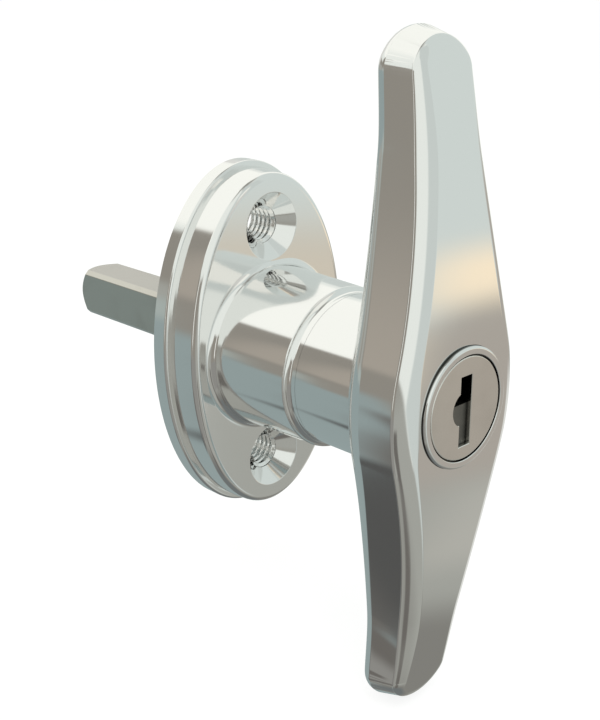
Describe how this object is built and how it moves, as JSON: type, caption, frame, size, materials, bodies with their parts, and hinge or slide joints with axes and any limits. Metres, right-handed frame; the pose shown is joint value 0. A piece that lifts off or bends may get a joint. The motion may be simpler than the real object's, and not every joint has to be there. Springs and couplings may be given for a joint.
{
  "type": "t-handle cam latch",
  "caption": "T-handle latch: oval stepped rose with round boss, crowned bevelled T-grip on a round neck, key lock in its middle and a square spindle to the rear.",
  "frame": {"origin": "centre of the rose's rear face, on the spindle's axis", "axes": "+Z along the grip, upwards; +Y to the rear along the spindle; +X to the right seen from the front, where the keyway faces -Y"},
  "size_m": [0.0346, 0.0854, 0.1],
  "materials": {
    "rose_chrome": "polished",
    "grip_chrome": "polished",
    "lock_chrome": "polished",
    "plug_nickel": "satin nickel",
    "spindle_steel": "drawn steel",
    "pin_steel": "ground",
    "washer_steel": "zinc plated",
    "spring_steel": "phosphated",
    "seal_rubber": "matt",
    "bolt_steel": "yellow zinc",
    "wafer_nickel": "stamped",
    "coil_steel": "drawn wire"
  },
  "bodies": {
    "rose": {"base_flange": "rose_chrome", "disc_spring": "spring_steel"},
    "handle": {"t_handle": "grip_chrome", "spindle": "spindle_steel", "spindle_pin": "pin_steel", "stop_washer": "washer_steel", "retaining_ring": "spring_steel", "shaft_seal": "seal_rubber", "lock_housing": "lock_chrome", "housing_pin": "pin_steel"},
    "plug": {"lock_plug": "plug_nickel", "plug_clip": "spring_steel", "drive_pin": "pin_steel", "wafer_spring_1": "coil_steel", "wafer_spring_2": "coil_steel", "wafer_spring_3": "coil_steel", "wafer_spring_4": "coil_steel", "wafer_spring_5": "coil_steel"},
    "bolt": {"lock_bolt": "bolt_steel"},
    "wafer_1_body": {"wafer_1": "wafer_nickel"},
    "wafer_2_body": {"wafer_2": "wafer_nickel"},
    "wafer_3_body": {"wafer_3": "wafer_nickel"},
    "wafer_4_body": {"wafer_4": "wafer_nickel"},
    "wafer_5_body": {"wafer_5": "wafer_nickel"}
  },
  "joints": [
    {"name": "handle_turn", "type": "hinge", "parent": "rose", "child": "handle", "pos_m": [0, 0, 0], "axis": [0, 1, 0], "range_deg": [0, 90]},
    {"name": "plug_turn", "type": "hinge", "parent": "handle", "child": "plug", "pos_m": [0, -0.0465, 0], "axis": [0, 1, 0], "range_deg": [0, 90]},
    {"name": "bolt_slide", "type": "slide", "parent": "handle", "child": "bolt", "axis": [1, 0, 0], "range_m": [0, 0.00226]},
    {"name": "wafer_1_rise", "type": "slide", "parent": "plug", "child": "wafer_1_body", "axis": [0, 0, 1], "range_m": [0, 0.0008], "deforming": ["wafer_spring_1"]},
    {"name": "wafer_2_rise", "type": "slide", "parent": "plug", "child": "wafer_2_body", "axis": [0, 0, 1], "range_m": [0, 0.0008], "deforming": ["wafer_spring_2"]},
    {"name": "wafer_3_rise", "type": "slide", "parent": "plug", "child": "wafer_3_body", "axis": [0, 0, 1], "range_m": [0, 0.0008], "deforming": ["wafer_spring_3"]},
    {"name": "wafer_4_rise", "type": "slide", "parent": "plug", "child": "wafer_4_body", "axis": [0, 0, 1], "range_m": [0, 0.0008], "deforming": ["wafer_spring_4"]},
    {"name": "wafer_5_rise", "type": "slide", "parent": "plug", "child": "wafer_5_body", "axis": [0, 0, 1], "range_m": [0, 0.0008], "deforming": ["wafer_spring_5"]}
  ],
  "couplings": [
    {"joint": "bolt_slide", "follows": "plug_turn", "m_per_rad": 0.0014405},
    {"joint": "wafer_2_rise", "follows": "wafer_1_rise", "ratio": 1},
    {"joint": "wafer_3_rise", "follows": "wafer_1_rise", "ratio": 1},
    {"joint": "wafer_4_rise", "follows": "wafer_1_rise", "ratio": 1},
    {"joint": "wafer_5_rise", "follows": "wafer_1_rise", "ratio": 1}
  ]
}
